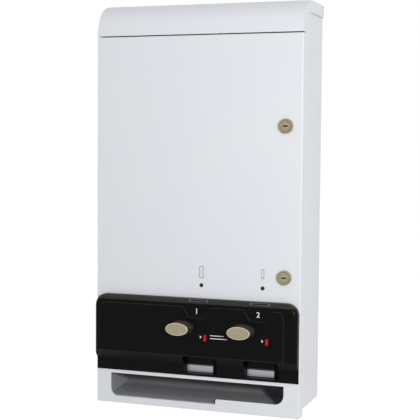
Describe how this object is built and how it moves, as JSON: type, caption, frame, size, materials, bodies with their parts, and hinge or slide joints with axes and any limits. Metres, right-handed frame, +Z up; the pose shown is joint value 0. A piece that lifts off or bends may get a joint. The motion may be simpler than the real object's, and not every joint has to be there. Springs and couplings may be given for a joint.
{
  "type": "sanitary product dispenser",
  "caption": "Wall-hung steel cabinet with a hinged locking door, a black panel with oval push buttons, coin cups, product magazines and a delivery tray below",
  "frame": {"origin": "centre of the four wall screw holes, on the cabinet's back face", "axes": "+Z up, +Y back into the wall, +X to the right of someone who faces the front"},
  "size_m": [0.3582, 0.1745, 0.673],
  "materials": {
    "white_powder_coat": "smooth semi-gloss powder coat on sheet steel",
    "galvanised_steel": "bare galvanised sheet",
    "zinc_plated_steel": "bright zinc plate",
    "spring_wire": "drawn spring wire",
    "black_moulded_plastic": "fine-textured injection moulding",
    "grey_moulded_plastic": "dark grey moulding, satin",
    "white_moulded_plastic": "natural white moulding",
    "satin_nickel": "satin nickel-plated casting",
    "lock_brass": "dull nickel on brass",
    "stainless_sheet": "brushed stainless sheet",
    "darkened_steel": "darkened satin steel",
    "red_plastic": "glossy red moulding",
    "dark_red_plastic": "dark red moulding",
    "cast_weight": "painted casting"
  },
  "bodies": {
    "cabinet": {"hood_cover": "white_powder_coat", "hood_nuts": "zinc_plated_steel", "cabinet_shell": "white_powder_coat", "hinge_leaf_cabinet": "galvanised_steel", "hinge_pin": "zinc_plated_steel", "hinge_rivets": "zinc_plated_steel", "lock_keepers": "galvanised_steel", "magazine_rail_lower": "galvanised_steel", "magazine_rail_upper": "galvanised_steel", "magazine_screws": "zinc_plated_steel", "drum_pivot_screws": "zinc_plated_steel", "flag_pins": "zinc_plated_steel", "delivery_tray": "grey_moulded_plastic", "drop_chute": "galvanised_steel", "tray_and_chute_screws": "zinc_plated_steel", "pad_magazine": "galvanised_steel", "tampon_magazine": "galvanised_steel"},
    "door": {"door_panel": "white_powder_coat", "hinge_leaf_door": "galvanised_steel", "control_panel": "black_moulded_plastic", "panel_screws": "zinc_plated_steel", "mech_screws": "zinc_plated_steel", "flap_pins": "zinc_plated_steel", "coin_box_bracket": "galvanised_steel", "lock_nuts": "zinc_plated_steel", "lock_barrel_upper": "lock_brass", "lock_barrel_lower": "lock_brass", "coin_slot_plate_1": "darkened_steel", "button_spring_1": "spring_wire", "mech_frame_1": "galvanised_steel", "mech_cover_1": "galvanised_steel", "coin_chute_1": "white_moulded_plastic", "return_cup_1": "black_moulded_plastic", "coin_slot_plate_2": "darkened_steel", "button_spring_2": "spring_wire", "mech_frame_2": "galvanised_steel", "mech_cover_2": "galvanised_steel", "coin_chute_2": "white_moulded_plastic", "return_cup_2": "black_moulded_plastic"},
    "coin_box": {"coin_box": "galvanised_steel"},
    "lock_upper": {"lock_plug_upper": "lock_brass", "lock_cam_upper": "zinc_plated_steel"},
    "lock_lower": {"lock_plug_lower": "lock_brass", "lock_cam_lower": "zinc_plated_steel"},
    "button_1": {"push_button_1": "satin_nickel", "button_stem_1": "zinc_plated_steel"},
    "lever_1": {"return_lever_1": "red_plastic", "lever_slide_1": "black_moulded_plastic"},
    "flap_1": {"return_flap_1": "stainless_sheet"},
    "pad_drum": {"pad_drum": "white_moulded_plastic"},
    "pad_follower": {"pad_follower_weight": "cast_weight"},
    "pad_flag": {"pad_sold_out_flag": "dark_red_plastic"},
    "button_2": {"push_button_2": "satin_nickel", "button_stem_2": "zinc_plated_steel"},
    "lever_2": {"return_lever_2": "red_plastic", "lever_slide_2": "black_moulded_plastic"},
    "flap_2": {"return_flap_2": "stainless_sheet"},
    "tampon_drum": {"tampon_drum": "white_moulded_plastic"},
    "tampon_follower": {"tampon_follower_weight": "cast_weight"},
    "tampon_flag": {"tampon_sold_out_flag": "dark_red_plastic"}
  },
  "joints": [
    {"name": "door_hinge", "type": "hinge", "parent": "cabinet", "child": "door", "pos_m": [-0.178, -0.1092, -0.086], "axis": [0, 0, -1], "range_deg": [0, 115]},
    {"name": "coin_box_lift", "type": "slide", "parent": "door", "child": "coin_box", "axis": [0, 0, 1], "range_m": [0, 0.09]},
    {"name": "lock_upper_turn", "type": "hinge", "parent": "door", "child": "lock_upper", "pos_m": [0.1515, -0.12, 0.0746], "axis": [0, -1, 0], "range_deg": [0, 90]},
    {"name": "lock_lower_turn", "type": "hinge", "parent": "door", "child": "lock_lower", "pos_m": [0.1515, -0.12, -0.1675], "axis": [0, -1, 0], "range_deg": [0, 90]},
    {"name": "button_push_1", "type": "slide", "parent": "door", "child": "button_1", "axis": [0, 1, 0], "range_m": [0, 0.018], "stiffness_N_per_m": 500, "springref_m": -0.01, "deforming": ["button_spring_1"]},
    {"name": "coin_return_1", "type": "slide", "parent": "door", "child": "lever_1", "axis": [1, 0, 0], "range_m": [0, 0.006], "stiffness_N_per_m": 100, "springref_m": -0.004},
    {"name": "cup_flap_1", "type": "hinge", "parent": "door", "child": "flap_1", "pos_m": [0.0065, -0.1235, -0.32], "axis": [1, 0, 0], "range_deg": [0, 55]},
    {"name": "pad_drum_turn", "type": "hinge", "parent": "cabinet", "child": "pad_drum", "pos_m": [-0.071, -0.0345, -0.222], "axis": [1, 0, 0], "range_deg": [0, 60]},
    {"name": "pad_weight_lift", "type": "slide", "parent": "cabinet", "child": "pad_follower", "axis": [0, 0, 1], "range_m": [0, 0.38]},
    {"name": "pad_flag_dip", "type": "hinge", "parent": "cabinet", "child": "pad_flag", "pos_m": [0.004, -0.066, -0.181], "axis": [1, 0, 0], "range_deg": [0, 14], "stiffness_Nm_per_rad": 0.002, "springref_deg": -34.38},
    {"name": "button_push_2", "type": "slide", "parent": "door", "child": "button_2", "axis": [0, 1, 0], "range_m": [0, 0.018], "stiffness_N_per_m": 500, "springref_m": -0.01, "deforming": ["button_spring_2"]},
    {"name": "coin_return_2", "type": "slide", "parent": "door", "child": "lever_2", "axis": [1, 0, 0], "range_m": [0, 0.006], "stiffness_N_per_m": 100, "springref_m": -0.004},
    {"name": "cup_flap_2", "type": "hinge", "parent": "door", "child": "flap_2", "pos_m": [0.1115, -0.1235, -0.32], "axis": [1, 0, 0], "range_deg": [0, 55]},
    {"name": "tampon_drum_turn", "type": "hinge", "parent": "cabinet", "child": "tampon_drum", "pos_m": [0.086, -0.0345, -0.222], "axis": [1, 0, 0], "range_deg": [0, 60]},
    {"name": "tampon_weight_lift", "type": "slide", "parent": "cabinet", "child": "tampon_follower", "axis": [0, 0, 1], "range_m": [0, 0.38]},
    {"name": "tampon_flag_dip", "type": "hinge", "parent": "cabinet", "child": "tampon_flag", "pos_m": [0.109, -0.066, -0.181], "axis": [1, 0, 0], "range_deg": [0, 14], "stiffness_Nm_per_rad": 0.002, "springref_deg": -34.38}
  ],
  "couplings": [
    {"joint": "pad_drum_turn", "follows": "button_push_1", "rad_per_m": 58.17},
    {"joint": "tampon_drum_turn", "follows": "button_push_2", "rad_per_m": 58.17}
  ]
}
